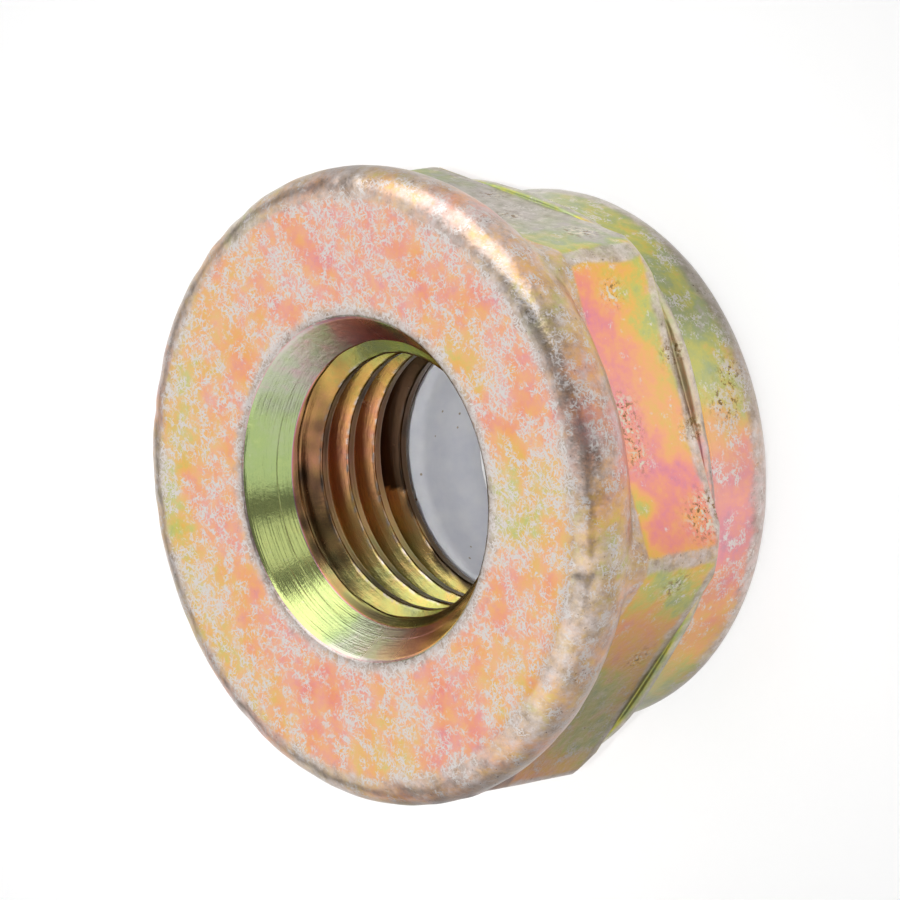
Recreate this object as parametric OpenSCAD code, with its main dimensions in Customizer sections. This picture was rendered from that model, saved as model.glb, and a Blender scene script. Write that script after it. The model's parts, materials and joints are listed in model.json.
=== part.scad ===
// Flanged lock nut that clamps the blade of a trimmer or brush cutter on its shaft.
// One forged and turned steel body has a round flange, a hexagon and a collar.
// The collar's end is rolled inwards over a nylon locking ring.
// +Z runs along the thread, from the collar's end at z = 0 up to the clamping face.
// The thread is left-hand. The tapped hole is shown at the crests of the thread.

/* [Flange] */
// Diameter of the flange
flange_d = 21.6; // [20.6:0.1:28]
// Thickness of the flange
flange_t = 2.8; // [2.4:0.1:4]
// Rounding of the rim beside the clamping face
rim_r = 1.05; // [0.3:0.05:1.8]

/* [Hexagon] */
// Width across the flats, a little under the 19 mm spanner
hex_af = 18.7; // [18:0.1:19]
// Length of the flats, from the flange's back to the hexagon's end
hex_h = 3.7; // [2.5:0.1:7]
// Diameter over the rubbed-down corners
corner_d = 21.2; // [20.4:0.1:21.5]
// Bevel of the corners at the hexagon's end
corner_bevel = 0.3; // [0.1:0.05:0.6]

/* [Shoulder] */
// How far the round shoulder stands out from the collar
shoulder_w = 0.85; // [0.8:0.05:1.1]
// Thickness of the shoulder
shoulder_t = 0.4; // [0.2:0.05:0.8]
// Hollow rounding between the shoulder and the collar
neck_r = 0.55; // [0.2:0.05:0.75]

/* [Collar] */
// Outer diameter of the collar
collar_d = 18.2; // [17:0.1:18.4]
// Length of the collar, from the shoulder to its rolled end
collar_h = 3.8; // [3.2:0.1:5.5]
// Outer rounding of the rolled end
roll_r = 1.2; // [0.5:0.05:1.5]
// Thickness of the lip that is rolled over the locking ring
lip_t = 0.6; // [0.4:0.05:1]
// Diameter of the opening inside the lip
lip_d = 13.2; // [11.4:0.1:13.8]

/* [Locking ring] */
// Outer diameter of the locking ring and of its seat
ring_od = 14.6; // [14:0.1:15.2]
// Bore of the locking ring, which the thread of the shaft cuts into
ring_bore_d = 9.3; // [9:0.1:9.9]
// Thickness of the locking ring
ring_t = 3.1; // [2:0.1:4]
// Bevel on the inner edge of the locking ring, where the shaft enters
ring_bevel = 0.4; // [0.1:0.05:0.8]
// Play between the locking ring and the wall of its seat
ring_play = 0.02; // [0:0.01:0.1]

/* [Thread] */
// Nominal diameter of the thread
thread_d = 10; // [9.6:0.1:10.2]
// Pitch of the thread
thread_pitch = 1.25; // [1:0.05:1.5]
// How much wider the tapping hole is than the thread's basic minor diameter
tap_hole_extra = 0.1; // [0:0.01:0.26]
// Diameter of the countersink at the clamping face
countersink_d = 11.7; // [10.4:0.1:13]
// Depth of the countersink
countersink_depth = 1.45; // [0.5:0.05:2]
// Diameter at the bottom of the countersink
throat_d = 9.7; // [9.2:0.1:10]
// Depth of the steeper lead-in between the countersink and the full thread
lead_in_depth = 0.55; // [0.2:0.05:1]

/* [Hidden] */
$fn = 96;

// Share of the pitch that separates the nominal and the basic minor diameter
minor_share = 1.0825;
minor_r = (thread_d - minor_share * thread_pitch + tap_hole_extra) / 2;
// How far a cut runs past the face that it opens
cut = 1;

hex_end_z = collar_h + shoulder_t;
flange_back_z = hex_end_z + hex_h;
face_z = flange_back_z + flange_t;
flange_r = flange_d / 2;
// The rim's two roundings meet where the flange is widest
rim_z = face_z - rim_r;
rim_back_r = flange_t - rim_r;

collar_r = collar_d / 2;
shoulder_r = collar_r + shoulder_w;
lip_r = lip_d / 2;
countersink_slope = (countersink_d - throat_d) / 2 / countersink_depth;

// Half section of the flange: a tight rounding to the face and a wide one to the back
module flange_section() {
    intersection() {
        translate([flange_r - rim_r, rim_z]) circle(r = rim_r);
        translate([0, rim_z]) square([flange_r, rim_r]);
    }
    intersection() {
        translate([flange_r - rim_back_r, rim_z]) circle(r = rim_back_r);
        translate([0, flange_back_z]) square([flange_r, rim_back_r]);
    }
    translate([0, rim_z]) square([flange_r - rim_r, rim_r]);
    translate([0, flange_back_z]) square([flange_r - rim_back_r, rim_back_r]);
}

// Half section of the shoulder and of the collar with its rolled end
module collar_section() {
    translate([0, collar_h]) square([shoulder_r, shoulder_t]);
    translate([0, roll_r]) square([collar_r, collar_h - roll_r]);
    square([collar_r - roll_r, roll_r]);
    intersection() {
        translate([collar_r - roll_r, roll_r]) circle(r = roll_r);
        square([collar_r, roll_r]);
    }
    difference() {
        translate([collar_r - neck_r, collar_h - neck_r]) square([2 * neck_r, neck_r]);
        translate([collar_r + neck_r, collar_h - neck_r]) circle(r = neck_r);
    }
}

// Half section of everything that is open inside the body
module bore_section() {
    // Opening of the lip, which ends in a round edge
    difference() {
        translate([0, -cut]) square([lip_r + lip_t / 2, lip_t + cut]);
        translate([lip_r + lip_t / 2, lip_t / 2]) circle(d = lip_t);
    }
    // Seat of the locking ring
    translate([0, lip_t]) square([ring_od / 2, ring_t]);
    // Tapped hole
    square([minor_r, face_z]);
    // Countersink, with the lead-in below it
    translate([0, face_z])
        polygon([
            [0, -countersink_depth - lead_in_depth],
            [minor_r, -countersink_depth - lead_in_depth],
            [throat_d / 2, -countersink_depth],
            [countersink_d / 2 + cut * countersink_slope, cut],
            [0, cut]
        ]);
}

// Hexagon with rubbed-down corners, from its end up into the flange
module hexagon() {
    hex_full_h = rim_z - hex_end_z;
    translate([0, 0, hex_end_z])
        intersection() {
            cylinder(d = hex_af / cos(30), h = hex_full_h, $fn = 6);
            union() {
                cylinder(d1 = corner_d - 2 * corner_bevel, d2 = corner_d, h = corner_bevel);
                translate([0, 0, corner_bevel]) cylinder(d = corner_d, h = hex_full_h - corner_bevel);
            }
        }
}

// The steel body, plated yellow
module nut_body() {
    color([0.80, 0.68, 0.46])
        difference() {
            union() {
                rotate_extrude() flange_section();
                rotate_extrude() collar_section();
                hexagon();
            }
            rotate_extrude() bore_section();
        }
}

// The locking ring, trapped between the end of the thread and the lip
module nylon_ring() {
    ring_r = ring_bore_d / 2;
    color([0.88, 0.89, 0.92])
        translate([0, 0, lip_t])
            rotate_extrude()
                polygon([
                    [ring_r, 0],
                    [ring_od / 2 - ring_play, 0],
                    [ring_od / 2 - ring_play, ring_t],
                    [ring_r + ring_bevel, ring_t],
                    [ring_r, ring_t - ring_bevel]
                ]);
}

nut_body();
nylon_ring();
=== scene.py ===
"""Flanged lock nut of yellow zinc plated steel, with its nylon locking ring.

The nut stands on its collar's end with the clamping face up. The thread is left-hand.
Shapes are worked out in millimetres and put into the meshes in metres.
"""

import json
import math

import bpy
import numpy as np
from mathutils import Matrix, Vector


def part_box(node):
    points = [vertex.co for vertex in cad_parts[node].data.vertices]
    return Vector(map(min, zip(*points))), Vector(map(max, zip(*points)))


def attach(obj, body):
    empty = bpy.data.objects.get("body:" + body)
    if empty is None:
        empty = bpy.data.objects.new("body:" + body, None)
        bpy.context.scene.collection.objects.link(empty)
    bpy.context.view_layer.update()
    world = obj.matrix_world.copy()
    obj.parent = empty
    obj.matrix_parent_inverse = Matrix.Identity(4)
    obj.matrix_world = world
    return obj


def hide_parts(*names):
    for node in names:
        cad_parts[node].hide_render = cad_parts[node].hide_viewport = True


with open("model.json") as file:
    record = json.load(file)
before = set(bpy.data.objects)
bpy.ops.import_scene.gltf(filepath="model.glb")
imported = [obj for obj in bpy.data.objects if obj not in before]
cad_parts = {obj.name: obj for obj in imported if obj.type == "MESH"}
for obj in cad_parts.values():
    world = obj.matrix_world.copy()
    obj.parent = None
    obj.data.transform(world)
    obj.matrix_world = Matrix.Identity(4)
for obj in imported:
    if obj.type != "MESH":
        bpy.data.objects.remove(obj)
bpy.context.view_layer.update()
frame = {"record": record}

MM = 0.001
TAU = 2 * math.pi

# Driving sizes of the nut, in millimetres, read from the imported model
body_high = [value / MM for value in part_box("nut_body")[1]]
ring_low, ring_high = [[value / MM for value in corner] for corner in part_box("nylon_ring")]
mount_of = {mount["name"]: mount for mount in frame["record"]["mounts"]}
FACE_Z = body_high[2]
FLANGE_R = body_high[0]
CREST_R = mount_of["thread"]["dims"]["r_mm"]
RING_R = ring_high[0]
RING_BACK_Z = ring_low[2]
SEAT_Z = ring_high[2]

# Sizes of the section that the box doesn't give, in millimetres
FLANGE_T = 2.8
RIM_R = 1.05
RIM_BACK_R = FLANGE_T - RIM_R
RIM_Z = FACE_Z - RIM_R
FLANGE_BACK_Z = FACE_Z - FLANGE_T
APOTHEM = 9.35
CORNER_R = 10.6
# Corners that were rubbed less or more than the rest: azimuth, and what that adds to the radius
CORNER_WEAR = [(-60, 0.13), (120, -0.22)]
CORNER_BEVEL = 0.3
HEX_END_Z = 4.2
SHOULDER_T = 0.4
SHOULDER_R = 9.95
# Azimuths at which the forged shoulder stands out less, and by how much
SHOULDER_LOSS = [(90, 0.48), (-28, 0.46), (24, 0.40), (-66, -0.26)]
NECK_R = 0.55
COLLAR_R = 9.1
COLLAR_TOP_Z = HEX_END_Z - SHOULDER_T
ROLL_R = 1.2
LIP_T = RING_BACK_Z
LIP_R = 6.6
SEAT_R = 7.3
RING_BORE_R = 4.65
# How much smaller the ring's bore gets towards its back, and the heights between which it does
RING_SWELL = 0.13
SWELL_START_Z = 2.3
SWELL_FULL_Z = 1.0
RING_BEVEL = 0.4
SINK_R = 5.85
SINK_DEPTH = 1.45
THROAT_R = 4.85
LEAD_IN_DEPTH = 0.55

# Thread: pitch, root radius, and where one crest's upper edge lies
PITCH = 1.25
ROOT_R = 5.05
CREST_SHARE = 0.25
FLANK_SHARE = 0.3125
CREST_ANGLE = math.radians(203.75)
CREST_EDGE_DEPTH = 2.42

# Tones of the plating, in the order in which its film gets thicker
BARE, OLIVE, LIME, GOLD, ORANGE, SALMON, PINK = 0.0, 0.10, 0.19, 0.28, 0.38, 0.48, 0.57
MAGENTA, MAUVE, SAGE, GREEN, SPRING, BRASS = 0.65, 0.72, 0.79, 0.86, 0.93, 1.0


def linear(colour):
    """An sRGB hex colour as linear red, green, blue and alpha."""
    parts = [int(colour[i:i + 2], 16) / 255 for i in (1, 3, 5)]
    return tuple(c / 12.92 if c <= 0.04045 else ((c + 0.055) / 1.055) ** 2.4 for c in parts) + (1.0,)


def smooth_min(a, b, width):
    """The smaller of two values, rounded over a width where they cross."""
    share = np.clip(0.5 + 0.5 * (b - a) / width, 0, 1)
    return b + (a - b) * share - width * share * (1 - share)


def smooth_max(a, b, width):
    """The larger of two values, rounded over a width where they cross."""
    return -smooth_min(-a, -b, width)


def ease(low, high, value):
    """0 below low, 1 above high, and an S-shaped step between them."""
    t = np.clip((value - low) / (high - low), 0, 1)
    return t * t * (3 - 2 * t)


def waves(points, length, seed, count=28):
    """Smooth random field from -1 to 1: a sum of plane waves of about one wavelength, in mm."""
    rng = np.random.default_rng(seed)
    ways = rng.normal(size=(count, 3))
    ways /= np.linalg.norm(ways, axis=1)[:, None]
    rates = TAU / (length * rng.uniform(0.7, 1.5, count))
    phases = rng.uniform(0, TAU, count)
    total = np.sin(points @ (ways * rates[:, None]).T + phases).sum(axis=-1)
    return np.clip(total / math.sqrt(count / 2) / 2.2, -1, 1)


def arc(centre_r, centre_z, radius, start, end, count):
    """Rows of a section on a circle, from one angle to another in degrees, the ends left out."""
    a = np.radians(np.linspace(start, end, count + 2)[1:-1])
    return centre_r + radius * np.cos(a), centre_z + radius * np.sin(a)


def straight(r0, z0, r1, z1, count, ends=True):
    """Rows of a section on a straight line, with or without its two ends."""
    t = np.linspace(0, 1, count) if ends else np.linspace(0, 1, count + 2)[1:-1]
    return r0 + (r1 - r0) * t, z0 + (z1 - z0) * t


# Angles round the axis, closer together at the hexagon's six corners
PER_FLAT = 62
CROWDING = 0.55
flat_share = np.arange(PER_FLAT) / PER_FLAT
flat_angles = (flat_share - CROWDING * np.sin(TAU * flat_share) / TAU) * TAU / 6
theta = np.concatenate([flat_angles + k * TAU / 6 for k in range(6)])[:, None]
from_flat = (theta % (TAU / 6)) - TAU / 12


def near_angle(azimuth, width):
    """1 at an azimuth, falling off on both sides as a bell of this width, both in degrees."""
    off = (np.degrees(theta) - azimuth + 180) % 360 - 180
    return np.exp(-(off / width) ** 2)


def hexagon_radius():
    """Flat's distance over the cosine of the angle from its middle, cut off by the corners' cylinder."""
    corner_r = CORNER_R + sum(extra * near_angle(azimuth, 14) for azimuth, extra in CORNER_WEAR)
    return smooth_min(APOTHEM / np.cos(from_flat), corner_r, 0.10)


def thread_fall(angle, z):
    """How far a point lies below the upper edge of the first crest, in mm."""
    return FACE_Z - z - CREST_EDGE_DEPTH - PITCH * (angle - CREST_ANGLE) / TAU


def thread_phase(angle, z):
    """Share of a pitch by which a point lies below the upper edge of the crest above it."""
    return (thread_fall(angle, z) / PITCH) % 1.0


def thread_radius(angle, z):
    """Crest flat, straight 30 degree flanks and root flat, by the distance from the crest's middle."""
    phase = thread_phase(angle, z)
    off_crest = np.abs((phase - CREST_SHARE / 2 + 0.5) % 1.0 - 0.5)
    rise = (off_crest - CREST_SHARE / 2) / FLANK_SHARE
    rise = smooth_max(smooth_min(rise, 1.0, 0.16), 0.0, 0.10)
    burr = np.exp(-(((phase + 0.5) % 1.0 - 0.5) / 0.035) ** 2)
    return CREST_R + (ROOT_R - CREST_R) * rise - 0.025 * burr


def bore_radius(angle, z):
    """The larger of the countersink with its lead-in and the thread, so the groove cuts into both."""
    depth = FACE_Z - z
    cone = SINK_R - depth * (SINK_R - THROAT_R) / SINK_DEPTH
    lead_in = THROAT_R - (depth - SINK_DEPTH) * (THROAT_R - CREST_R) / LEAD_IN_DEPTH
    return np.maximum(np.where(depth < SINK_DEPTH, cone, lead_in), thread_radius(angle, z))


def nut_section():
    """Blocks of rows round the section: zone name, radii and heights, each for every angle."""
    hexagon = hexagon_radius()
    blocks = []

    def add(zone, rows):
        """Keeps one block of rows, spread over every angle."""
        r, z = np.broadcast_arrays(np.atleast_2d(rows[0]), np.atleast_2d(rows[1]))
        shape = (len(theta), r.shape[1])
        blocks.append((zone, np.broadcast_to(r, shape), np.broadcast_to(z, shape)))

    sink_edge = 0.10
    add("face", arc(SINK_R + sink_edge * 0.72, FACE_Z - sink_edge, sink_edge, 160, 90, 4))
    add("face", straight(SINK_R + sink_edge * 0.72 + 0.03, FACE_Z, FLANGE_R - RIM_R, FACE_Z, 21))
    add("rim", arc(FLANGE_R - RIM_R, RIM_Z, RIM_R, 90, 0, 12))
    # The rim's back rounding ends in a small hollow rounding against the flats
    a = np.radians(np.linspace(0, 90, 19))[None, :]
    back_r = FLANGE_R - RIM_BACK_R + RIM_BACK_R * np.cos(a)
    back_z = RIM_Z - RIM_BACK_R * np.sin(a)
    add("rim", (smooth_max(back_r, hexagon, 0.22), back_z))
    flat_z = np.linspace(FLANGE_BACK_Z - 0.12, HEX_END_Z + 0.45, 15)[None, :]
    add("flat", (hexagon, flat_z))
    bevel_z = HEX_END_Z + np.array([0.36, 0.28, 0.2, 0.12, 0.05])[None, :]
    bevel_r = smooth_min(hexagon, CORNER_R - CORNER_BEVEL + bevel_z - HEX_END_Z, 0.06)
    add("flat", (bevel_r, bevel_z))
    ledge = np.array([0.0, 0.3, 0.65, 1.0])[None, :]
    edge_r = np.minimum(hexagon, CORNER_R - CORNER_BEVEL)
    shoulder_r = SHOULDER_R - sum(loss * near_angle(azimuth, 20) for azimuth, loss in SHOULDER_LOSS)
    neck_r = np.minimum(NECK_R, shoulder_r - COLLAR_R - 0.10)
    add("shoulder", (edge_r + (shoulder_r - 0.08 - edge_r) * ledge, np.full_like(ledge, HEX_END_Z)))
    add("shoulder", arc(shoulder_r - 0.08, HEX_END_Z - 0.08, 0.08, 90, 0, 3))
    add("shoulder", arc(shoulder_r - 0.06, COLLAR_TOP_Z + 0.06, 0.06, 0, -90, 3))
    add("neck", arc(COLLAR_R + neck_r, COLLAR_TOP_Z - neck_r, neck_r, 90, 180, 9))
    add("collar", straight(COLLAR_R, COLLAR_TOP_Z - NECK_R, COLLAR_R, ROLL_R, 11))
    add("collar", arc(COLLAR_R - ROLL_R, ROLL_R, ROLL_R, 0, -90, 12))
    add("end", straight(COLLAR_R - ROLL_R, 0, LIP_R + LIP_T / 2, 0, 5))
    add("end", arc(LIP_R + LIP_T / 2, LIP_T / 2, LIP_T / 2, -90, -270, 9))
    add("seat", straight(LIP_R + LIP_T / 2, LIP_T, SEAT_R, LIP_T, 3))
    add("seat", straight(SEAT_R, LIP_T, SEAT_R, SEAT_Z, 4, ends=False))
    seat_share = np.linspace(0, 1, 5)[None, :-1]
    bore_end = bore_radius(theta, SEAT_Z)
    add("seat", (SEAT_R + (bore_end - SEAT_R) * seat_share, np.full_like(seat_share, SEAT_Z)))
    thread_z = np.linspace(SEAT_Z, FACE_Z - SINK_DEPTH + 0.42, 112)[None, :]
    add("thread", (bore_radius(theta, thread_z), thread_z))
    sink_z = np.linspace(FACE_Z - SINK_DEPTH + 0.46, FACE_Z - 0.07, 8)[None, :]
    add("sink", (bore_radius(theta, sink_z), sink_z))
    return blocks


def closed_loop_mesh(name, x, y, z, attributes):
    """Quads between neighbours of a grid that closes on itself both ways, with smooth shading."""
    rows, columns = x.shape
    index = np.arange(rows * columns).reshape(rows, columns)
    right = np.roll(index, -1, axis=1)
    up = np.roll(index, -1, axis=0)
    corner = np.roll(right, -1, axis=0)
    quads = np.stack([index, right, corner, up], axis=-1).reshape(-1, 4)
    mesh = bpy.data.meshes.new(name)
    mesh.vertices.add(rows * columns)
    mesh.vertices.foreach_set("co", (np.stack([x, y, z], axis=-1) * MM).astype(np.float32).ravel())
    mesh.loops.add(quads.size)
    mesh.loops.foreach_set("vertex_index", quads.astype(np.int32).ravel())
    mesh.polygons.add(len(quads))
    mesh.polygons.foreach_set("loop_start", np.arange(0, quads.size, 4, dtype=np.int32))
    mesh.polygons.foreach_set("use_smooth", np.ones(len(quads), dtype=bool))
    mesh.update(calc_edges=True)
    for key, values in attributes.items():
        layer = mesh.attributes.new(key, "FLOAT", "POINT")
        layer.data.foreach_set("value", values.astype(np.float32).ravel())
    piece = bpy.data.objects.new(name, mesh)
    bpy.context.scene.collection.objects.link(piece)
    return piece


def on_flat(azimuth, along, z):
    """Point on the flat whose normal has this azimuth, so far along it and at this height."""
    a = math.radians(azimuth)
    return (APOTHEM * math.cos(a) - along * math.sin(a), APOTHEM * math.sin(a) + along * math.cos(a), z)


def on_round(radius, angle, z):
    """Point at this radius, angle in degrees and height."""
    a = math.radians(angle)
    return (radius * math.cos(a), radius * math.sin(a), z)


# Where the plating took which tone: place in mm, reach in mm, tone
FACE_PATCHES = [
    ((-9.2, 1.0, FACE_Z), 1.7, 0.23), ((-8.0, 3.5, FACE_Z), 1.4, 0.36),
    ((-9.0, -3.2, FACE_Z), 0.9, LIME), ((-7.8, -5.0, FACE_Z), 1.0, 0.25),
    ((-5.8, -7.2, FACE_Z), 1.7, GOLD), ((-3.2, -8.9, FACE_Z), 1.1, 0.33),
    ((-3.9, -6.0, FACE_Z), 1.1, 0.44), ((-1.5, -7.2, FACE_Z), 1.4, 0.46),
    ((0.8, -6.8, FACE_Z), 1.2, 0.45), ((2.6, -8.3, FACE_Z), 1.2, 0.30),
    ((4.8, -6.2, FACE_Z), 1.4, 0.46), ((7.4, -4.2, FACE_Z), 1.3, 0.34),
    ((6.8, -2.2, FACE_Z), 1.1, 0.45), ((8.6, -1.0, FACE_Z), 1.0, 0.36),
    ((6.6, 1.2, FACE_Z), 0.8, LIME), ((7.6, 2.7, FACE_Z), 1.3, GOLD),
    ((7.2, 5.2, FACE_Z), 1.3, 0.45), ((5.6, 7.0, FACE_Z), 1.4, 0.45),
    ((3.8, 6.0, FACE_Z), 1.1, 0.27), ((3.6, 8.2, FACE_Z), 1.2, 0.45),
    ((1.6, 7.4, FACE_Z), 1.4, 0.44), ((-1.8, 8.3, FACE_Z), 1.2, 0.45),
    ((-3.4, 7.4, FACE_Z), 1.0, 0.47), ((-5.2, 6.6, FACE_Z), 1.2, 0.43),
    ((-6.7, 5.2, FACE_Z), 1.0, ORANGE), ((-7.0, 1.0, FACE_Z), 1.1, 0.44),
    ((-6.8, -2.6, FACE_Z), 1.1, 0.46),
]
FLAT_PATCHES = [
    # Flat towards the camera
    (on_flat(30, 3.5, 7.6), 1.2, 0.56), (on_flat(30, 0.5, 7.3), 1.0, 0.55),
    (on_flat(30, -1.6, 7.3), 0.8, 0.53), (on_flat(30, -3.6, 6.9), 0.9, 0.50),
    (on_flat(30, -2.9, 7.85), 0.42, 0.13), (on_flat(30, -4.2, 8.05), 0.42, 0.12),
    (on_flat(30, 4.3, 6.6), 0.9, 0.28), (on_flat(30, 3.8, 5.3), 1.0, 0.24),
    (on_flat(30, 2.6, 4.7), 0.9, 0.18), (on_flat(30, 1.2, 4.6), 0.7, 0.20),
    (on_flat(30, 0.8, 6.0), 1.0, 0.40), (on_flat(30, -0.8, 5.0), 1.0, 0.33),
    (on_flat(30, -2.8, 5.6), 0.9, 0.54), (on_flat(30, -4.2, 6.0), 0.9, 0.45),
    (on_flat(30, -4.3, 4.6), 0.7, 0.45),
    # Flat at the top of the picture
    (on_flat(90, -4.0, 7.4), 1.1, OLIVE + 0.04), (on_flat(90, -3.8, 5.8), 1.0, BARE + 0.02),
    (on_flat(90, -1.5, 5.6), 1.4, BARE + 0.03), (on_flat(90, 1.5, 5.4), 1.4, BARE + 0.05),
    (on_flat(90, 4.0, 5.5), 1.2, OLIVE), (on_flat(90, 0.5, 7.2), 1.2, 0.06),
    # Flat at the bottom of the picture
    (on_flat(-30, 4.3, 6.6), 1.0, 0.15), (on_flat(-30, 2.8, 7.4), 0.8, 0.38),
    (on_flat(-30, 4.2, 4.8), 0.8, 0.20), (on_flat(-30, 3.3, 5.2), 0.6, 0.13),
    (on_flat(-30, 1.8, 6.0), 1.1, 0.36), (on_flat(-30, 0.4, 4.8), 1.0, 0.30),
    (on_flat(-30, -0.9, 6.6), 1.0, 0.14), (on_flat(-30, -2.6, 6.0), 1.0, 0.19),
    (on_flat(-30, -3.4, 4.7), 1.0, 0.15), (on_flat(-30, -4.6, 6.8), 0.9, 0.38),
]
COLLAR_PATCHES = [
    (on_round(COLLAR_R, 84, 2.4), 1.2, 0.14), (on_round(COLLAR_R, 62, 2.6), 1.3, 0.12),
    (on_round(COLLAR_R, 46, 2.8), 1.0, 0.11), (on_round(COLLAR_R, 50, 1.6), 0.9, 0.06),
    (on_round(COLLAR_R, 36, 2.9), 0.9, 0.14), (on_round(COLLAR_R, 30, 1.9), 0.9, 0.20),
    (on_round(COLLAR_R, 22, 2.5), 0.8, 0.36), (on_round(COLLAR_R, 12, 2.0), 1.2, 0.54),
    (on_round(COLLAR_R, 0, 2.1), 1.2, 0.60), (on_round(COLLAR_R, -12, 2.2), 1.2, 0.44),
    (on_round(COLLAR_R, -24, 2.2), 1.0, 0.33), (on_round(COLLAR_R, -38, 2.6), 1.0, 0.22),
    (on_round(COLLAR_R, -52, 2.0), 1.4, 0.10),
    (on_round(COLLAR_R, 106, 2.4), 1.6, 0.03),
]
SHOULDER_PATCHES = [
    (on_round(SHOULDER_R, 54, HEX_END_Z), 1.2, 0.18), (on_round(SHOULDER_R, 40, HEX_END_Z), 1.2, 0.21),
    (on_round(SHOULDER_R, 28, HEX_END_Z), 1.0, 0.29), (on_round(SHOULDER_R, 16, HEX_END_Z), 1.2, 0.53),
    (on_round(SHOULDER_R, 3, HEX_END_Z), 1.2, 0.55), (on_round(SHOULDER_R, -18, HEX_END_Z), 1.4, 0.16),
    (on_round(SHOULDER_R, -40, HEX_END_Z), 1.8, 0.13), (on_round(SHOULDER_R, 90, HEX_END_Z), 2.0, 0.08),
]
SINK_MID_Z = FACE_Z - SINK_DEPTH / 2
SINK_MID_R = (SINK_R + THROAT_R) / 2
SINK_PATCHES = [
    (on_round(SINK_MID_R, 60, SINK_MID_Z), 1.2, 0.20), (on_round(SINK_MID_R, 110, SINK_MID_Z), 0.9, PINK),
    (on_round(SINK_MID_R, 132, SINK_MID_Z), 1.3, MAUVE), (on_round(SINK_MID_R, 156, SINK_MID_Z), 1.2, SAGE),
    (on_round(SINK_MID_R, 182, SINK_MID_Z), 1.3, GREEN), (on_round(SINK_MID_R, 213, SINK_MID_Z), 1.3, SPRING),
    (on_round(SINK_MID_R, 246, SINK_MID_Z), 1.3, 0.91), (on_round(SINK_MID_R, 272, SINK_MID_Z), 1.0, 0.77),
    (on_round(SINK_MID_R, 293, SINK_MID_Z), 0.9, 0.55), (on_round(SINK_MID_R, 330, SINK_MID_Z), 1.6, 0.30),
    (on_round(SINK_MID_R, 10, SINK_MID_Z), 2.0, SPRING),
]
THREAD_MID_Z = (SEAT_Z + FACE_Z) / 2
THREAD_PATCHES = [
    (on_round(ROOT_R, 120, THREAD_MID_Z), 1.6, 0.13), (on_round(ROOT_R, 150, THREAD_MID_Z), 1.6, 0.27),
    (on_round(ROOT_R, 185, THREAD_MID_Z), 2.2, 0.41), (on_round(ROOT_R, 222, THREAD_MID_Z), 1.8, 0.25),
    (on_round(ROOT_R, 250, THREAD_MID_Z), 1.8, 0.17), (on_round(ROOT_R, 290, THREAD_MID_Z), 2.0, 0.20),
]
PATCHES_OF_ZONE = {
    "face": FACE_PATCHES, "flat": FLAT_PATCHES, "collar": COLLAR_PATCHES, "neck": COLLAR_PATCHES,
    "shoulder": SHOULDER_PATCHES, "sink": SINK_PATCHES, "thread": THREAD_PATCHES,
    "rim": [], "end": [], "seat": [],
}
# How far each zone's plain ground tone lies along the plating's tones
GROUND_TONE = {
    "face": 0.40, "rim": 0.36, "flat": 0.36, "shoulder": 0.34, "neck": 0.30, "collar": 0.36,
    "end": 0.30, "seat": 0.25, "thread": 0.34, "sink": 0.90,
}


def plating_tone(zone, points):
    """Mean of the patches' tones and of a wandering ground tone, each weighted by its nearness."""
    warped = points + 0.35 * np.stack([waves(points, 1.6, seed) for seed in (11, 12, 13)], axis=-1)
    ground = GROUND_TONE[zone] + 0.13 * waves(points, 5.5, 21) + 0.05 * waves(points, 2.2, 22)
    weight = np.full(points.shape[:-1], 0.06)
    total = weight * ground
    for place, reach, tone in PATCHES_OF_ZONE[zone]:
        near = np.exp(-((warped - np.array(place)) ** 2).sum(axis=-1) / reach ** 2)
        weight = weight + near
        total = total + near * tone
    return total / weight


# Where beads of plating and pits cluster: place and reach in mm
BEADS = [
    (on_flat(30, 0.0, 7.2), 0.45), (on_flat(30, -0.8, 7.15), 0.40), (on_flat(30, -1.7, 7.1), 0.40),
    (on_flat(30, 3.9, 6.3), 0.40), (on_flat(30, -4.1, 5.0), 0.60), (on_flat(30, -3.6, 4.5), 0.45),
    (on_flat(30, -1.0, 4.35), 0.40), (on_flat(30, 1.6, 4.4), 0.40), (on_flat(90, -3.6, 5.4), 0.60),
    (on_flat(90, -1.0, 6.2), 0.45), (on_flat(90, 1.0, 5.0), 0.45), (on_flat(-30, 4.2, 6.0), 0.50),
    (on_flat(-30, 0.6, 5.4), 0.40), (on_round(COLLAR_R, 28, 2.2), 0.60), (on_round(COLLAR_R, 34, 1.6), 0.45),
]


# Attributes that the nut's material reads
MASK_NAMES = ("tone", "wear_and_painted_highlight", "flaked", "bloom_and_painted_light", "dirt_and_painted_shade", "turned", "beaded")


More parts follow.
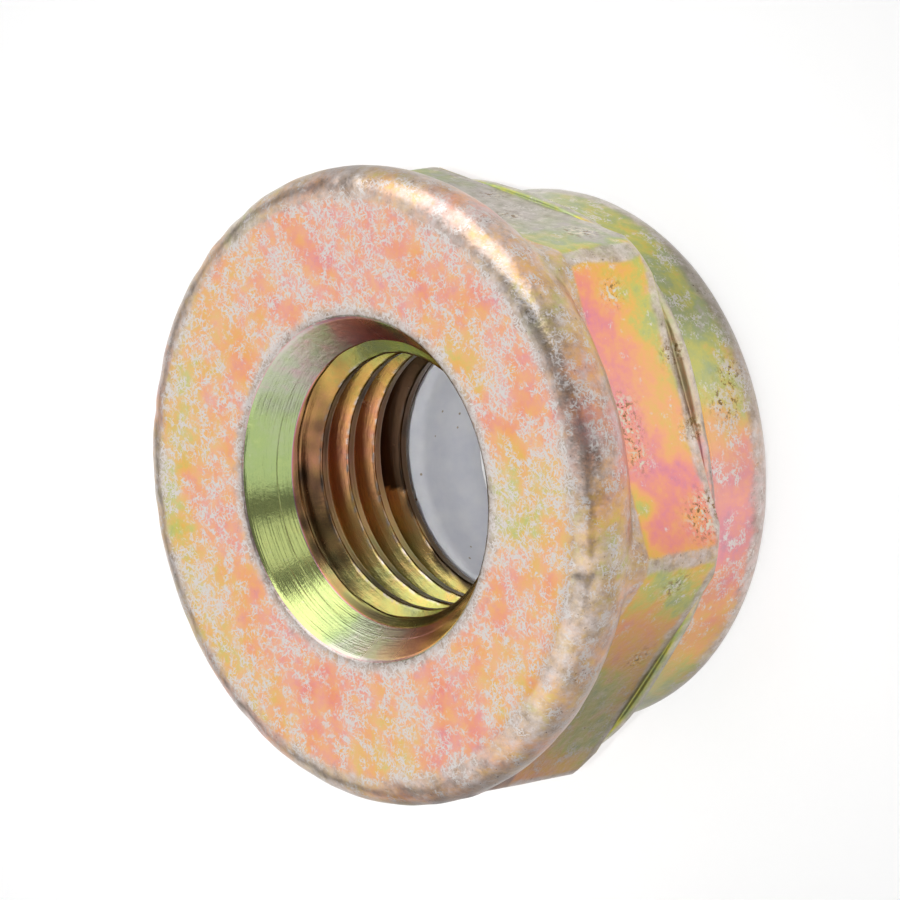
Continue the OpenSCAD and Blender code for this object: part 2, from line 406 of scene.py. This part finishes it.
def surface_masks(zone, x, y, z):
    """Wear and painted crest highlights, flaking, bloom and painted light, dirt and painted shade, turning
    and beads of one zone, each from 0 to 1, from its place.
    """
    points = np.stack([x, y, z], axis=-1)
    r = np.hypot(x, y)
    angle = np.arctan2(y, x) % TAU
    uneven = waves(points, 2.6, 31)
    fine = waves(points, 0.9, 32)
    zero = np.zeros_like(r)
    wear_and_painted_highlight = zero
    flaked = zero
    bloom_and_painted_light = zero
    dirt_and_painted_shade = zero
    turned = zero
    if zone == "face":
        outer = ease(9.35, 10.15, r + 0.20 * uneven + 0.10 * fine)
        inner = ease(6.50, 5.95, r - 0.14 * uneven - 0.06 * fine)
        wear_and_painted_highlight = 0.14 + 0.78 * np.maximum(outer, inner)
        flaked = 0.60 + 0.26 * uneven + 0.20 * np.maximum(outer, inner)
        bloom_and_painted_light = 0.20 + 0.08 * fine + 0.10 * uneven
        # Darker at the countersink's edge, and on the outer ring near -10 as painted shade
        dirt_and_painted_shade = 0.22 * ease(6.02, 5.92, r) + 0.14 * ease(9.2, 9.8, r) * near_angle(-10, 40)
    elif zone == "rim":
        # Less rubbed grey and a little darker near azimuth 22, towards the camera: a painted dark reflection
        wear_and_painted_highlight = 0.66 + 0.22 * uneven - 0.12 * near_angle(22, 26)
        flaked = 0.46 + 0.2 * fine
        bloom_and_painted_light = 0.10 + 0.24 * ease(10.42, 10.62, z)
        # Besides a little dirt, painted shade and painted dark reflections: darker low on the rim, a dark
        # streak beside the highlight near 51, and darker sides near -25, -66 and 106
        low = ease(10.45, 9.75, z)
        dark_reflection_streak = near_angle(51, 7) * np.exp(-((z + 0.03 * uneven - 10.57) / 0.055) ** 2)
        dirt_and_painted_shade = 0.02 + 0.08 * fine + 0.16 * low + 0.66 * dark_reflection_streak + 0.06 * near_angle(22, 26)
        side_shade = 0.24 * near_angle(-25, 26) + 0.66 * near_angle(-66, 24) + 0.34 * near_angle(106, 20)
        dirt_and_painted_shade = dirt_and_painted_shade + side_shade * ease(10.60, 10.2, z)
    elif zone == "flat":
        corner = np.repeat(np.abs(from_flat) * 180 / math.pi, r.shape[1], axis=1)
        at_corner = ease(27.3, 28.9, corner + 0.5 * uneven + 0.4 * fine)
        at_end = ease(4.80, 4.42, z + 0.12 * uneven + 0.06 * fine)
        wear_and_painted_highlight = 0.85 * np.maximum(at_corner, at_end)
        flaked = 0.14 + 0.12 * uneven
        bloom_and_painted_light = 0.16 * near_angle(30, 26) + zero
        # Lower flats near -44 and the top flat near 90 are rubbed; they and a strip near 108 are also
        # darkened as painted shade, and it is a little darker near -12
        lower = near_angle(-44, 34)
        upper = near_angle(90, 24)
        wear_and_painted_highlight = np.maximum(wear_and_painted_highlight, 0.80 * upper + 0.42 * lower)
        flaked = flaked + 0.30 * upper + 0.25 * lower
        dirt_and_painted_shade = 0.70 * lower + 0.12 * near_angle(-12, 14) + 0.16 * upper + 0.26 * near_angle(108, 16) + zero
    elif zone == "shoulder":
        wear_and_painted_highlight = 0.85 * ease(HEX_END_Z - 0.02, HEX_END_Z - 0.08, z)
        flaked = zero + 0.15
        # Lighter near 34, where the ledge lies in shade, as painted light; darker near -38 as painted shade
        bloom_and_painted_light = 0.55 * near_angle(34, 18) + zero
        dirt_and_painted_shade = 0.45 * near_angle(-38, 24) + zero
    elif zone == "neck":
        turned = zero + 0.8
        dirt_and_painted_shade = zero + 0.15
    elif zone == "collar":
        wear_and_painted_highlight = 0.12 + 0.75 * ease(1.75, 0.95, z + 0.25 * uneven) + 0.45 * near_angle(102, 16)
        flaked = 0.40 + 0.22 * uneven
        bloom_and_painted_light = 0.22 * near_angle(10, 34)
        turned = 0.5 * ease(2.2, 2.9, z)
        # Some dirt all round; darker near -50 and 56 and towards the floor near 52, as painted shade
        dirt_and_painted_shade = 0.12 + 0.10 * uneven + 0.50 * near_angle(-50, 26) + 0.24 * near_angle(56, 15)
        dirt_and_painted_shade = dirt_and_painted_shade + 0.26 * ease(1.8, 1.0, z + 0.2 * uneven) * near_angle(52, 34)
    elif zone == "end":
        wear_and_painted_highlight = zero + 0.75
        dirt_and_painted_shade = zero + 0.15
    elif zone == "seat":
        turned = zero + 0.6
    elif zone == "thread":
        turned = zero + 0.55
        # Lighter near 225, where the lower turns lie in shade: painted light
        bloom_and_painted_light = 0.08 + 0.12 * near_angle(225, 30) + zero
        # A dark band over the thread's far end, with a wavy edge
        far_band_edge = 5.45 + 0.75 * ease(3.50, 3.62, angle) + 0.10 * uneven + 0.06 * fine
        far_dark_band = 0.95 * ease(0.0, 0.10, FACE_Z - z - far_band_edge)
        phase = thread_phase(angle, z)
        # Crest flats are darkened as a painted dark reflection
        crest_dark_reflection = ease(0.31, 0.22, phase) * ease(-0.03, 0.03, phase)
        # The first turn, cut off by the lead-in, is darkened as painted shade
        first_turn_shade = 0.78 * ease(0.10, -0.02, thread_fall(theta, z)) * near_angle(200, 75)
        # A pale line along each crest's upper edge: a painted highlight
        crest_highlight = np.exp(-(((phase + 0.51) % 1.0 - 0.5) / 0.030) ** 2)
        crest_highlight = crest_highlight * ease(-0.5, 0.1, waves(points, 0.35, 33))
        wear_and_painted_highlight = 0.9 * crest_highlight
        # Darkened all through the bore, partly dirt and partly painted shade, more on the crests, less on the
        # highlight line and near 225
        dirt_and_painted_shade = (0.30 + 0.56 * crest_dark_reflection + 0.14 * uneven) * (1 - 0.8 * crest_highlight)
        dirt_and_painted_shade = dirt_and_painted_shade * (1 - 0.35 * near_angle(225, 24))
        dirt_and_painted_shade = np.maximum(dirt_and_painted_shade, first_turn_shade * (1 + 0.3 * fine))
        dirt_and_painted_shade = np.maximum(far_dark_band, dirt_and_painted_shade)
    elif zone == "sink":
        turned = 1.0 - 0.78 * near_angle(128, 34) - 0.50 * near_angle(284, 28) + zero
        # Paler near 136 and 282, where the countersink mirrors bright walls: partly a painted reflection
        bloom_and_painted_light = 0.10 + 0.36 * near_angle(136, 16) + 0.46 * near_angle(282, 16) + zero
    beaded = zero
    for place, reach in BEADS:
        beaded = beaded + np.exp(-((points - np.array(place)) ** 2).sum(axis=-1) / reach ** 2)
    return {
        "wear_and_painted_highlight": wear_and_painted_highlight, "flaked": flaked, "bloom_and_painted_light": bloom_and_painted_light,
        "dirt_and_painted_shade": dirt_and_painted_shade, "turned": turned, "beaded": 1.3 * beaded,
    }


# How far each zone's skin is uneven, in mm: forged skin more than turned
UNEVEN = {
    "face": 0.012, "rim": 0.022, "flat": 0.012, "shoulder": 0.02, "neck": 0.005, "collar": 0.012,
    "end": 0.01, "seat": 0.0, "thread": 0.0, "sink": 0.0,
}
NICK_COUNT = 60


def nicks(points):
    """Sum of small round dents, deepest in the middle, at random places along the rim."""
    rng = np.random.default_rng(5)
    depth = np.zeros(points.shape[:-1])
    for _ in range(NICK_COUNT):
        angle = rng.uniform(0, TAU)
        slope = rng.uniform(0.1, 1.5)
        reach = rng.uniform(0.18, 0.45)
        place = np.array([
            (FLANGE_R - RIM_R + RIM_R * math.sin(slope)) * math.cos(angle),
            (FLANGE_R - RIM_R + RIM_R * math.sin(slope)) * math.sin(angle),
            RIM_Z + RIM_R * math.cos(slope),
        ])
        depth += rng.uniform(0.02, 0.06) * np.exp(-((points - place) ** 2).sum(axis=-1) / reach ** 2)
    return depth


def build_nut():
    """Carries the section round the axis, then sinks the skin a little along its normals."""
    blocks = nut_section()
    zones = np.concatenate([[name] * r.shape[1] for name, r, _ in blocks])
    r = np.concatenate([block[1] for block in blocks], axis=1)
    z = np.concatenate([block[2] for block in blocks], axis=1)
    x = r * np.cos(theta)
    y = r * np.sin(theta)
    points = np.stack([x, y, z], axis=-1)
    along = np.roll(points, -1, axis=1) - np.roll(points, 1, axis=1)
    around = np.roll(points, -1, axis=0) - np.roll(points, 1, axis=0)
    normal = np.cross(along, around)
    normal /= np.maximum(np.linalg.norm(normal, axis=-1, keepdims=True), 1e-9)
    amount = np.array([UNEVEN[name] for name in zones])[None, :]
    sink = amount * (1 + 0.6 * waves(points, 3.0, 41) + 0.4 * waves(points, 1.1, 42)) + nicks(points)
    moved = points + normal * -sink[..., None]
    masks = {key: np.zeros_like(r) for key in MASK_NAMES}
    masks["run"] = FACE_Z - z - PITCH * theta / TAU * (zones == "thread")[None, :]
    for zone in GROUND_TONE:
        columns = np.nonzero(zones == zone)[0]
        part = points[:, columns]
        masks["tone"][:, columns] = plating_tone(zone, part)
        for key, values in surface_masks(zone, part[..., 0], part[..., 1], part[..., 2]).items():
            masks[key][:, columns] = np.clip(values, 0, 1)
    # The countersink's lower end lies in the thread's rows
    columns = np.nonzero(zones == "thread")[0]
    part = points[:, columns]
    past_cone = r[:, columns] - SINK_R + (FACE_Z - z[:, columns]) * (SINK_R - THROAT_R) / SINK_DEPTH
    on_cone = ease(0.05, 0.01, past_cone) * ease(-0.02, 0.02, z[:, columns] - FACE_Z + SINK_DEPTH)
    of_sink = surface_masks("sink", part[..., 0], part[..., 1], part[..., 2])
    of_sink["tone"] = plating_tone("sink", part)
    for key, values in of_sink.items():
        masks[key][:, columns] += (np.clip(values, 0, 1) - masks[key][:, columns]) * on_cone
    return closed_loop_mesh("plated_nut", moved[..., 0], moved[..., 1], moved[..., 2], masks)


def build_ring():
    """Closed section of the locking ring, bevelled where the shaft enters, carried round the axis."""
    ease_r = 0.10
    edge_r = 0.04
    back_r = RING_BORE_R - RING_SWELL
    bore_z = np.linspace(RING_BACK_Z + edge_r, SEAT_Z - RING_BEVEL - 0.1, 18)
    rows = [
        (RING_BORE_R - RING_SWELL * ease(SWELL_START_Z, SWELL_FULL_Z, bore_z), bore_z),
        straight(RING_BORE_R + 0.04, SEAT_Z - RING_BEVEL, RING_BORE_R + RING_BEVEL, SEAT_Z - 0.03, 6),
        straight(RING_BORE_R + RING_BEVEL + 0.05, SEAT_Z, RING_R - ease_r, SEAT_Z, 9),
        arc(RING_R - ease_r, SEAT_Z - ease_r, ease_r, 90, 0, 4),
        straight(RING_R, SEAT_Z - ease_r, RING_R, RING_BACK_Z + ease_r, 6),
        arc(RING_R - ease_r, RING_BACK_Z + ease_r, ease_r, 0, -90, 4),
        straight(RING_R - ease_r, RING_BACK_Z, back_r + edge_r, RING_BACK_Z, 9),
        arc(back_r + edge_r, RING_BACK_Z + edge_r, edge_r, -90, -180, 3),
    ]
    r = np.concatenate([row[0] for row in rows])[None, :]
    z = np.concatenate([row[1] for row in rows])[None, :]
    angle = np.linspace(0, TAU, 240, endpoint=False)[:, None]
    points = np.stack([r * np.cos(angle), r * np.sin(angle), z + 0 * angle], axis=-1)
    ripple = 0.006 * waves(points, 2.4, 51)
    x = (r + ripple) * np.cos(angle)
    y = (r + ripple) * np.sin(angle)
    x = np.where(r > RING_R - 0.5, r * np.cos(angle), x)
    y = np.where(r > RING_R - 0.5, r * np.sin(angle), y)
    return closed_loop_mesh("nylon_locking_ring", x, y, points[..., 2], {})


def add_node(tree, kind, settings=None, inputs=None):
    """Adds one node, sets its properties, and gives each input a value or a link."""
    node = tree.nodes.new(kind)
    for key, value in (settings or {}).items():
        setattr(node, key, value)
    for key, value in (inputs or {}).items():
        if isinstance(value, bpy.types.NodeSocket):
            tree.links.new(value, node.inputs[key])
        else:
            node.inputs[key].default_value = value
    return node


def new_material(name):
    """An empty node material with its output node."""
    material = bpy.data.materials.new(name)
    material.use_nodes = True
    material.node_tree.nodes.clear()
    output = add_node(material.node_tree, "ShaderNodeOutputMaterial")
    return material, material.node_tree, output


def place_in_mm(tree):
    """Object coordinates in millimetres."""
    place = add_node(tree, "ShaderNodeTexCoord").outputs["Object"]
    return add_node(tree, "ShaderNodeMapping", inputs={"Vector": place, "Scale": (1 / MM,) * 3}).outputs[0]


def calculate(tree, operation, *values, clamp=False):
    """One step of arithmetic on numbers or sockets."""
    settings = {"operation": operation, "use_clamp": clamp}
    return add_node(tree, "ShaderNodeMath", settings, dict(enumerate(values))).outputs[0]


def step(tree, value, low, high, top=1.0):
    """0 where a value is at low, top where it is at high, and an S-shaped step between them."""
    return add_node(tree, "ShaderNodeMapRange", {"interpolation_type": "SMOOTHSTEP"},
                    {"Value": value, "From Min": low, "From Max": high, "To Max": top}).outputs[0]


def blend(tree, share, under, over):
    """A colour with another laid over it by a share."""
    return add_node(tree, "ShaderNodeMix", {"data_type": "RGBA"}, {0: share, 6: under, 7: over}).outputs[2]


def noise(tree, vector, scale, detail, roughness=0.5):
    """Cloudy noise from 0 to 1."""
    return add_node(tree, "ShaderNodeTexNoise", inputs={
        "Vector": vector, "Scale": scale, "Detail": detail, "Roughness": roughness}).outputs["Fac"]


def ramp(tree, value, stops):
    """The colour at a value between stops, which are pairs of place and sRGB hex colour."""
    node = add_node(tree, "ShaderNodeValToRGB", inputs={"Fac": value})
    elements = node.color_ramp.elements
    while len(elements) < len(stops):
        elements.new(0.5)
    for element, (place, colour) in zip(elements, stops):
        element.position = place
        element.color = linear(colour)
    return node.outputs[0]


def relief(tree, height, strength, depth, normal=None):
    """The normal bent by a height whose step from 0 to 1 stands for a depth in mm."""
    inputs = {"Strength": strength, "Distance": depth * MM, "Height": height}
    if normal is not None:
        inputs["Normal"] = normal
    return add_node(tree, "ShaderNodeBump", inputs=inputs).outputs[0]


# Yellow zinc plating: the film's colours, from thin to thick
PLATING_STOPS = [
    (BARE, "#bcb3ae"), (OLIVE, "#a6b47c"), (LIME, "#c9c660"), (GOLD, "#ecba52"), (ORANGE, "#f6ac68"),
    (SALMON, "#f3977f"), (PINK, "#ea8794"), (MAGENTA, "#cf7d95"), (MAUVE, "#c0a0a2"),
    (SAGE, "#a9b392"), (GREEN, "#9ab267"), (SPRING, "#bcc973"), (BRASS, "#dccb72"),
]
# Rubbed skin, from its dark to its bright grains
RUBBED_STOPS = [(0.32, "#9f9388"), (0.46, "#c0b4aa"), (0.56, "#d1c6c0"), (0.70, "#e6deda")]
# Straight scratches: length and width in mm, and the turns in which they lie
SCRATCH_SIZE = (0.42, 0.075, 0.075)
SCRATCH_TURNS = [(0.2, 0.3, 0.5), (0.1, -0.4, 1.3), (-0.3, 0.2, 2.1), (0.4, 0.1, 2.8)]
# Noise cells to a millimetre across the tool's rings and along them
RINGS_ACROSS = 20.0
RINGS_ALONG = 0.35


def zinc_plated_steel():
    """Forged steel, zinc plated and yellow passivated, tumbled with its fellows.

    The film gives a soft metal gloss in wandering gold, salmon and green. Rubbed edges are a satin warm
    grey, flats and face are covered with pale short scratches, and turned walls are glossy with fine rings.
    """
    material, tree, output = new_material("yellow_zinc_plated_steel")
    mm = place_in_mm(tree)
    mask = {}
    for key in MASK_NAMES + ("run",):
        mask[key] = add_node(tree, "ShaderNodeAttribute", {"attribute_name": key}).outputs["Fac"]
    untouched = calculate(tree, "SUBTRACT", 1.0, mask["turned"])

    # Tone wanders by about 1 mm on forged skin and hardly at all on turned walls
    drift = noise(tree, mm, 1.3, 5.0, 0.68)
    swing = calculate(tree, "MULTIPLY_ADD", untouched, 0.48, 0.07)
    shift = calculate(tree, "SUBTRACT", drift, 0.5)
    film = ramp(tree, calculate(tree, "MULTIPLY_ADD", shift, swing, mask["tone"]), PLATING_STOPS)
    # A pale bloom over the film: real bloom, and painted light where the mask lightens the shaded thread and
    # ledge and the countersink's bright spots
    bloomed_and_lightened = blend(tree, mask["bloom_and_painted_light"], film, linear("#ece4dd"))

    # Rubbed skin: satin warm grey that blends softly into the film, grain by grain
    rubbed = ramp(tree, noise(tree, mm, 1.7, 4.0, 0.72), RUBBED_STOPS)
    patch = noise(tree, mm, 2.6, 4.0, 0.74)
    # The same pale grey also draws the painted highlight along the thread's crest edges
    wear_and_highlight = step(tree, calculate(tree, "MULTIPLY_ADD", patch, 1.3, mask["wear_and_painted_highlight"]), 0.80, 1.62, 0.92)
    skin = blend(tree, wear_and_highlight, bloomed_and_lightened, rubbed)

    # Pale scratches about 0.05 mm wide: the edges of bent cells, and straight ones in four directions
    bend = add_node(tree, "ShaderNodeTexNoise", inputs={"Vector": mm, "Scale": 2.4, "Detail": 2.0})
    bent = add_node(tree, "ShaderNodeVectorMath", {"operation": "MULTIPLY_ADD"},
                    {0: bend.outputs["Color"], 1: (0.9, 0.9, 0.9), 2: mm}).outputs[0]
    web = add_node(tree, "ShaderNodeTexVoronoi", {"feature": "DISTANCE_TO_EDGE"},
                   {"Vector": bent, "Scale": 2.6})
    scratch = step(tree, web.outputs["Distance"], 0.07, 0.025)
    for turn in SCRATCH_TURNS:
        laid = add_node(tree, "ShaderNodeMapping", {"vector_type": "TEXTURE"},
                        {"Vector": mm, "Rotation": turn, "Scale": SCRATCH_SIZE}).outputs[0]
        line = step(tree, noise(tree, laid, 1.0, 0.0), 0.64, 0.71)
        scratch = calculate(tree, "MAXIMUM", scratch, line)
    crowd = noise(tree, mm, 1.5, 3.0, 0.7)
    level = calculate(tree, "MULTIPLY_ADD", mask["flaked"], 0.42, crowd)
    scratch = calculate(tree, "MULTIPLY", scratch, step(tree, level, 0.66, 0.82))
    # Frosty mottling where the scratches crowd
    ice = noise(tree, mm, 5.5, 3.0, 0.75)
    frost = step(tree, calculate(tree, "MULTIPLY_ADD", level, 0.9, ice), 1.25, 1.52, 0.55)
    flaked = calculate(tree, "MAXIMUM", scratch, frost)
    flecked = blend(tree, flaked, skin, linear("#e6dfdb"))

    # Grains of plating and pits beside them, 0.1 to 0.2 mm wide, where the skin is rough
    grit = noise(tree, mm, 5.5, 2.0, 0.6)
    bead = calculate(tree, "MULTIPLY", step(tree, grit, 0.54, 0.60), mask["beaded"])
    pit = calculate(tree, "MULTIPLY", step(tree, grit, 0.43, 0.37), mask["beaded"])
    beaded = blend(tree, bead, flecked, linear("#e4dac6"))
    beaded = blend(tree, pit, beaded, linear("#8f7147"))

    # Dark specks on rubbed skin, and dark brown laid on by the dirt-and-shade mask: some dirt, and painted
    # shade and painted dark reflections in the bore, on the rim and on the lower sides
    speck = step(tree, noise(tree, mm, 8.0, 3.0, 0.6), 0.36, 0.28)
    speck = calculate(tree, "MULTIPLY", speck, wear_and_highlight)
    specks_dirt_and_shade = calculate(tree, "MULTIPLY_ADD", speck, 0.6, mask["dirt_and_painted_shade"], clamp=True)
    darkened = blend(tree, specks_dirt_and_shade, beaded, linear("#40332a"))

    # Turned walls are the glossiest, rubbed skin a little glossier than the film, scratches duller
    rough = add_node(tree, "ShaderNodeMapRange",
                     inputs={"Value": mask["turned"], "To Min": 0.37, "To Max": 0.19}).outputs[0]
    rough = calculate(tree, "MULTIPLY_ADD", wear_and_highlight, -0.06, rough)
    rough = calculate(tree, "MULTIPLY_ADD", flaked, 0.14, rough)

    # Relief: grain of the forged skin, then beads and frost, then the tool's rings on turned walls
    grain = calculate(tree, "MULTIPLY", noise(tree, mm, 3.2, 3.0, 0.6), untouched)
    normal = relief(tree, grain, 0.6, 0.03)
    normal = relief(tree, calculate(tree, "MULTIPLY_ADD", bead, 4.0, ice), 0.6, 0.01, normal)
    wide = add_node(tree, "ShaderNodeVectorMath", {"operation": "SCALE"}, {0: mm, "Scale": RINGS_ALONG})
    parts = add_node(tree, "ShaderNodeSeparateXYZ", inputs={0: wide.outputs[0]})
    across = calculate(tree, "MULTIPLY", mask["run"], RINGS_ACROSS)
    ringed = add_node(tree, "ShaderNodeCombineXYZ",
                      inputs={0: parts.outputs[0], 1: parts.outputs[1], 2: across})
    rings = calculate(tree, "MULTIPLY", noise(tree, ringed.outputs[0], 1.0, 2.0), mask["turned"])
    normal = relief(tree, rings, 0.8, 0.014, normal)

    shader = add_node(tree, "ShaderNodeBsdfPrincipled", inputs={
        "Base Color": darkened, "Metallic": 1.0, "Roughness": rough, "Normal": normal})
    tree.links.new(shader.outputs[0], output.inputs["Surface"])
    return material


def nylon():
    """Natural nylon, moulded: milky white, a little translucent, with a soft sheen and dust specks."""
    material, tree, output = new_material("moulded_natural_nylon")
    mm = place_in_mm(tree)
    milk = ramp(tree, noise(tree, mm, 1.2, 3.0), [(0.3, "#dfe2ec"), (0.7, "#edeff5")])
    dust = add_node(tree, "ShaderNodeTexVoronoi", inputs={"Vector": mm, "Scale": 1.6}).outputs["Distance"]
    colour = blend(tree, step(tree, dust, 0.09, 0.05), milk, linear("#a89a8c"))
    normal = relief(tree, noise(tree, mm, 6.0, 3.0), 0.3, 0.01)
    shader = add_node(tree, "ShaderNodeBsdfPrincipled", inputs={
        "Base Color": colour, "Roughness": 0.42, "IOR": 1.53, "Normal": normal,
        "Subsurface Weight": 0.25, "Subsurface Radius": (0.6, 0.6, 0.6), "Subsurface Scale": 1.0 * MM})
    tree.links.new(shader.outputs[0], output.inputs["Surface"])
    return material


# Paper: its own colour, and the glow that lifts it to white for the eye and for metal
PAPER_COLOUR = "#a2a2a2"
PAPER_GLOW = 0.64


def white_paper():
    """Studio paper: matt white that the camera and glossy metal see as white, with a faint shadow."""
    material, tree, output = new_material("white_studio_paper")
    path = add_node(tree, "ShaderNodeLightPath")
    seen = calculate(tree, "MAXIMUM", path.outputs["Is Camera Ray"], path.outputs["Is Glossy Ray"])
    seen = calculate(tree, "MAXIMUM", seen, path.outputs["Is Transmission Ray"])
    lift = calculate(tree, "MULTIPLY", seen, PAPER_GLOW)
    paper = add_node(tree, "ShaderNodeBsdfDiffuse", inputs={"Color": linear(PAPER_COLOUR)})
    glow = add_node(tree, "ShaderNodeEmission", inputs={"Color": (1, 1, 1, 1), "Strength": lift})
    both = add_node(tree, "ShaderNodeAddShader", inputs={0: paper.outputs[0], 1: glow.outputs[0]})
    tree.links.new(both.outputs[0], output.inputs["Surface"])
    return material


# Radius of the paper and height of its upturned edge, in metres
PAPER_R = 0.9
PAPER_EDGE = 0.07


def build_floor():
    """A round sheet of paper under the nut, turned up at its edge so that it also fills low views."""
    count = 96
    angle = np.linspace(0, TAU, count, endpoint=False)
    flat = np.stack([PAPER_R * np.cos(angle), PAPER_R * np.sin(angle), 0 * angle], axis=-1)
    points = np.concatenate([flat, flat + (0, 0, PAPER_EDGE)])
    low = np.arange(count)
    after = np.roll(low, -1)
    walls = np.stack([low, low + count, after + count, after], axis=-1)
    mesh = bpy.data.meshes.new("studio_floor")
    mesh.from_pydata(points.tolist(), [], [low.tolist()] + walls.tolist())
    floor = bpy.data.objects.new("studio_floor", mesh)
    bpy.context.scene.collection.objects.link(floor)
    floor.data.materials.append(white_paper())


# Camera: the photograph's angle from the collar's axis, and where the face's centre falls in the picture
IMAGE_SIZE = 900
SENSOR = 36.0
LENS = 480.0
CAMERA_AZIMUTH = 22.73
CAMERA_ELEVATION = 44.27
CAMERA_ROLL = 99.8
CAMERA_DISTANCE = 400.6
FACE_CENTRE_PIXEL = (363.1, 490.0)


def way_to(azimuth, elevation):
    """Unit vector towards an azimuth and an elevation, both in degrees."""
    a = math.radians(azimuth)
    e = math.radians(elevation)
    return Vector((math.cos(e) * math.cos(a), math.cos(e) * math.sin(a), math.sin(e)))


def build_camera():
    """Looks along the photograph's axis, rolled, and placed so the face's centre meets its pixel."""
    back = way_to(CAMERA_AZIMUTH, CAMERA_ELEVATION)
    level = Vector((0, 0, 1)).cross(back).normalized()
    upright = back.cross(level)
    roll = math.radians(CAMERA_ROLL)
    right = level * math.cos(roll) - upright * math.sin(roll)
    up = level * math.sin(roll) + upright * math.cos(roll)
    focal = LENS / SENSOR * IMAGE_SIZE
    across = (FACE_CENTRE_PIXEL[0] - IMAGE_SIZE / 2) / focal
    down = (FACE_CENTRE_PIXEL[1] - IMAGE_SIZE / 2) / focal
    ray = (right * across - up * down - back).normalized()
    place = Vector((0, 0, FACE_Z)) - ray * CAMERA_DISTANCE
    data = bpy.data.cameras.new("camera")
    data.sensor_width = SENSOR
    data.lens = LENS
    data.clip_start = 0.01
    data.clip_end = 20
    camera = bpy.data.objects.new("camera", data)
    turn = Matrix((right, up, back)).transposed().to_4x4()
    camera.matrix_world = Matrix.Translation(place * MM) @ turn
    bpy.context.scene.collection.objects.link(camera)
    bpy.context.scene.camera = camera


# Lamps stand this far from the nut, in metres
LAMP_DISTANCE = 0.5
# Soft boxes: name, azimuth, elevation, width and height in metres, and radiance
SOFTBOXES = [
    ("back_box", 203, 46, 0.55, 0.45, 0.82),
    ("left_box", 114, 32, 0.58, 0.48, 2.0),
    ("right_box", -75, 30, 0.56, 0.50, 0.90),
    ("low_front_box", 47, 20, 0.26, 0.26, 0.80),
    ("low_right_box", -15, 24, 0.46, 0.34, 0.90),
    ("top_box", -68, 71, 0.36, 0.32, 0.95),
]
# Spot down the bore: elevation, radius of its beam at the nut in mm, and power in watts
SPOT_ELEVATION = 50
SPOT_BEAM_R = 5.2
SPOT_POWER = 85.0
# Radiance of the tent round the lamps
TENT = 0.18


def place_lamp(data, aim, way):
    """Adds a lamp that looks at a point from its distance along a way."""
    lamp = bpy.data.objects.new(data.name, data)
    turn = way.to_track_quat("Z", "Y").to_matrix().to_4x4()
    lamp.matrix_world = Matrix.Translation(aim + way * LAMP_DISTANCE) @ turn
    bpy.context.scene.collection.objects.link(lamp)
    return lamp


def softbox(name, azimuth, elevation, width, height, radiance):
    """A rectangular lamp that faces the nut with a given brightness."""
    data = bpy.data.lights.new(name, "AREA")
    data.shape = "RECTANGLE"
    data.size = width
    data.size_y = height
    data.energy = radiance * math.pi * width * height
    place_lamp(data, Vector((0, 0, 0)), way_to(azimuth, elevation))


def nylon_spot():
    """A narrow lamp down the bore that lights the matt nylon and stays out of the metal's reflections."""
    data = bpy.data.lights.new("bore_spot", "SPOT")
    data.spot_size = 2 * math.atan(SPOT_BEAM_R * MM / LAMP_DISTANCE)
    data.spot_blend = 0.3
    data.shadow_soft_size = 0.02
    data.energy = SPOT_POWER
    lamp = place_lamp(data, Vector((0, 0, FACE_Z * MM)), way_to(CAMERA_AZIMUTH, SPOT_ELEVATION))
    lamp.visible_glossy = False


def build_light():
    """Soft boxes round the nut, with dark gaps between the low ones, and a dim tent behind them."""
    for box in SOFTBOXES:
        softbox(*box)
    nylon_spot()
    world = bpy.data.worlds.new("studio")
    world.use_nodes = True
    tree = world.node_tree
    tree.nodes.clear()
    output = add_node(tree, "ShaderNodeOutputWorld")
    tent = add_node(tree, "ShaderNodeBackground", inputs={"Color": (1, 1, 1, 1), "Strength": TENT})
    tree.links.new(tent.outputs[0], output.inputs["Surface"])
    bpy.context.scene.world = world


build_camera()
build_light()
build_floor()

nut = build_nut()
nut.data.materials.append(zinc_plated_steel())
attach(nut, "root")
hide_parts("nut_body")

ring = build_ring()
ring.data.materials.append(nylon())
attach(ring, "root")
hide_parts("nylon_ring")

bpy.context.scene.view_settings.view_transform = "Standard"
